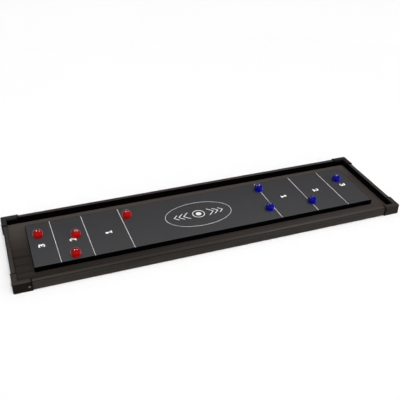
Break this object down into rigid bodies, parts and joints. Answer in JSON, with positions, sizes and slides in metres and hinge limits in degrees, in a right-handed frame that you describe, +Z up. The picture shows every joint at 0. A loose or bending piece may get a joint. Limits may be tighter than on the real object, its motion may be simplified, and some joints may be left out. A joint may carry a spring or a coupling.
{
  "type": "tabletop shuffleboard game",
  "caption": "Low tabletop game: a shallow wood-grain tray with black corner caps, a loose reversible printed panel inside it, and round ball-bearing rollers that run along the panel.",
  "frame": {"origin": "on the surface it stands on, under the middle of the board", "axes": "+X along the length of the board, +Y across it, +Z up; the players stand at -X and +X"},
  "size_m": [1.1534, 0.3274, 0.044],
  "materials": {
    "floor_wood": "satin dark wood-grain film",
    "rail_wood": "satin dark wood-grain film",
    "black_trim": "matte black lining strip",
    "panel_edge": "satin black edge band",
    "cap_plastic": "moulded satin near-black plastic",
    "screw_zinc": "bright zinc-plated steel",
    "rubber": "matte black rubber",
    "panel_core": "raw fibreboard",
    "shuffleboard_print": "satin dark grey printed film with white lines",
    "curling_print": "satin white printed film with coloured rings",
    "red_shell": "glossy moulded red plastic",
    "blue_shell": "glossy moulded blue plastic",
    "roller_retainer": "satin black plastic",
    "ball_steel": "polished bearing steel"
  },
  "bodies": {
    "tray": {"tray_floor": "floor_wood", "rail_far": "rail_wood", "rail_near": "rail_wood", "rail_left": "rail_wood", "rail_right": "rail_wood", "liner_far": "black_trim", "liner_near": "black_trim", "liner_left": "black_trim", "liner_right": "black_trim", "corner_cap_far_left": "cap_plastic", "corner_cap_far_right": "cap_plastic", "corner_cap_near_left": "cap_plastic", "corner_cap_near_right": "cap_plastic", "cap_screw_far_left_side": "screw_zinc", "cap_screw_far_left_end": "screw_zinc", "cap_screw_far_right_side": "screw_zinc", "cap_screw_far_right_end": "screw_zinc", "cap_screw_near_left_side": "screw_zinc", "cap_screw_near_left_end": "screw_zinc", "cap_screw_near_right_side": "screw_zinc", "cap_screw_near_right_end": "screw_zinc", "foot_far_left": "rubber", "foot_far_middle": "rubber", "foot_far_right": "rubber", "grip_pad_far_left": "rubber", "grip_pad_far_right": "rubber", "foot_near_left": "rubber", "foot_near_middle": "rubber", "foot_near_right": "rubber", "grip_pad_near_left": "rubber", "grip_pad_near_right": "rubber"},
    "panel": {"panel_edge_band": "panel_edge", "panel_core": "panel_core", "shuffleboard_sheet": "shuffleboard_print", "curling_sheet": "curling_print"},
    "red_roller_1": {"red_roller_1_shell": "red_shell", "red_roller_1_retainer": "roller_retainer"},
    "red_roller_1_ball": {"red_roller_1_ball": "ball_steel"},
    "red_roller_2": {"red_roller_2_shell": "red_shell", "red_roller_2_retainer": "roller_retainer"},
    "red_roller_2_ball": {"red_roller_2_ball": "ball_steel"},
    "red_roller_3": {"red_roller_3_shell": "red_shell", "red_roller_3_retainer": "roller_retainer"},
    "red_roller_3_ball": {"red_roller_3_ball": "ball_steel"},
    "red_roller_4": {"red_roller_4_shell": "red_shell", "red_roller_4_retainer": "roller_retainer"},
    "red_roller_4_ball": {"red_roller_4_ball": "ball_steel"},
    "blue_roller_1": {"blue_roller_1_shell": "blue_shell", "blue_roller_1_retainer": "roller_retainer"},
    "blue_roller_1_ball": {"blue_roller_1_ball": "ball_steel"},
    "blue_roller_2": {"blue_roller_2_shell": "blue_shell", "blue_roller_2_retainer": "roller_retainer"},
    "blue_roller_2_ball": {"blue_roller_2_ball": "ball_steel"},
    "blue_roller_3": {"blue_roller_3_shell": "blue_shell", "blue_roller_3_retainer": "roller_retainer"},
    "blue_roller_3_ball": {"blue_roller_3_ball": "ball_steel"},
    "blue_roller_4": {"blue_roller_4_shell": "blue_shell", "blue_roller_4_retainer": "roller_retainer"},
    "blue_roller_4_ball": {"blue_roller_4_ball": "ball_steel"}
  },
  "joints": [
    {"name": "panel_lift", "type": "slide", "parent": "tray", "child": "panel", "axis": [0, 0, 1], "range_m": [0, 0.06]},
    {"name": "red_roller_1_run", "type": "slide", "parent": "panel", "child": "red_roller_1", "axis": [1, 0, 0], "range_m": [-0.0145, 0.1135]},
    {"name": "red_roller_1_ball_roll", "type": "hinge", "parent": "red_roller_1", "child": "red_roller_1_ball", "pos_m": [-0.4835, 0.044, 0.0289], "axis": [0, 1, 0], "continuous": true},
    {"name": "red_roller_2_run", "type": "slide", "parent": "panel", "child": "red_roller_2", "axis": [1, 0, 0], "range_m": [-0.1155, 0.8865]},
    {"name": "red_roller_2_ball_roll", "type": "hinge", "parent": "red_roller_2", "child": "red_roller_2_ball", "pos_m": [-0.3825, 0.0095, 0.0289], "axis": [0, 1, 0], "continuous": true},
    {"name": "red_roller_3_run", "type": "slide", "parent": "panel", "child": "red_roller_3", "axis": [1, 0, 0], "range_m": [-0.0995, 0.6385]},
    {"name": "red_roller_3_ball_roll", "type": "hinge", "parent": "red_roller_3", "child": "red_roller_3_ball", "pos_m": [-0.3985, -0.077, 0.0289], "axis": [0, 1, 0], "continuous": true},
    {"name": "red_roller_4_run", "type": "slide", "parent": "panel", "child": "red_roller_4", "axis": [1, 0, 0], "range_m": [-0.117, 0.203]},
    {"name": "red_roller_4_ball_roll", "type": "hinge", "parent": "red_roller_4", "child": "red_roller_4_ball", "pos_m": [-0.223, 0.058, 0.0289], "axis": [0, 1, 0], "continuous": true},
    {"name": "blue_roller_1_run", "type": "slide", "parent": "panel", "child": "blue_roller_1", "axis": [1, 0, 0], "range_m": [-0.1875, 0.1125]},
    {"name": "blue_roller_1_ball_roll", "type": "hinge", "parent": "blue_roller_1", "child": "blue_roller_1_ball", "pos_m": [0.2075, 0.068, 0.0289], "axis": [0, 1, 0], "continuous": true},
    {"name": "blue_roller_2_run", "type": "slide", "parent": "panel", "child": "blue_roller_2", "axis": [1, 0, 0], "range_m": [-0.693, 0.045]},
    {"name": "blue_roller_2_ball_roll", "type": "hinge", "parent": "blue_roller_2", "child": "blue_roller_2_ball", "pos_m": [0.195, -0.0425, 0.0289], "axis": [0, 1, 0], "continuous": true},
    {"name": "blue_roller_3_run", "type": "slide", "parent": "panel", "child": "blue_roller_3", "axis": [1, 0, 0], "range_m": [-0.0655, 0.1685]},
    {"name": "blue_roller_3_ball_roll", "type": "hinge", "parent": "blue_roller_3", "child": "blue_roller_3_ball", "pos_m": [0.3355, -0.049, 0.0289], "axis": [0, 1, 0], "continuous": true},
    {"name": "blue_roller_4_run", "type": "slide", "parent": "panel", "child": "blue_roller_4", "axis": [1, 0, 0], "range_m": [-0.123, 0.031]},
    {"name": "blue_roller_4_ball_roll", "type": "hinge", "parent": "blue_roller_4", "child": "blue_roller_4_ball", "pos_m": [0.473, 0.043, 0.0289], "axis": [0, 1, 0], "continuous": true}
  ],
  "couplings": [
    {"joint": "red_roller_1_ball_roll", "follows": "red_roller_1_run", "rad_per_m": 157.48},
    {"joint": "red_roller_2_ball_roll", "follows": "red_roller_2_run", "rad_per_m": 157.48},
    {"joint": "red_roller_3_ball_roll", "follows": "red_roller_3_run", "rad_per_m": 157.48},
    {"joint": "red_roller_4_ball_roll", "follows": "red_roller_4_run", "rad_per_m": 157.48},
    {"joint": "blue_roller_1_ball_roll", "follows": "blue_roller_1_run", "rad_per_m": 157.48},
    {"joint": "blue_roller_2_ball_roll", "follows": "blue_roller_2_run", "rad_per_m": 157.48},
    {"joint": "blue_roller_3_ball_roll", "follows": "blue_roller_3_run", "rad_per_m": 157.48},
    {"joint": "blue_roller_4_ball_roll", "follows": "blue_roller_4_run", "rad_per_m": 157.48}
  ]
}
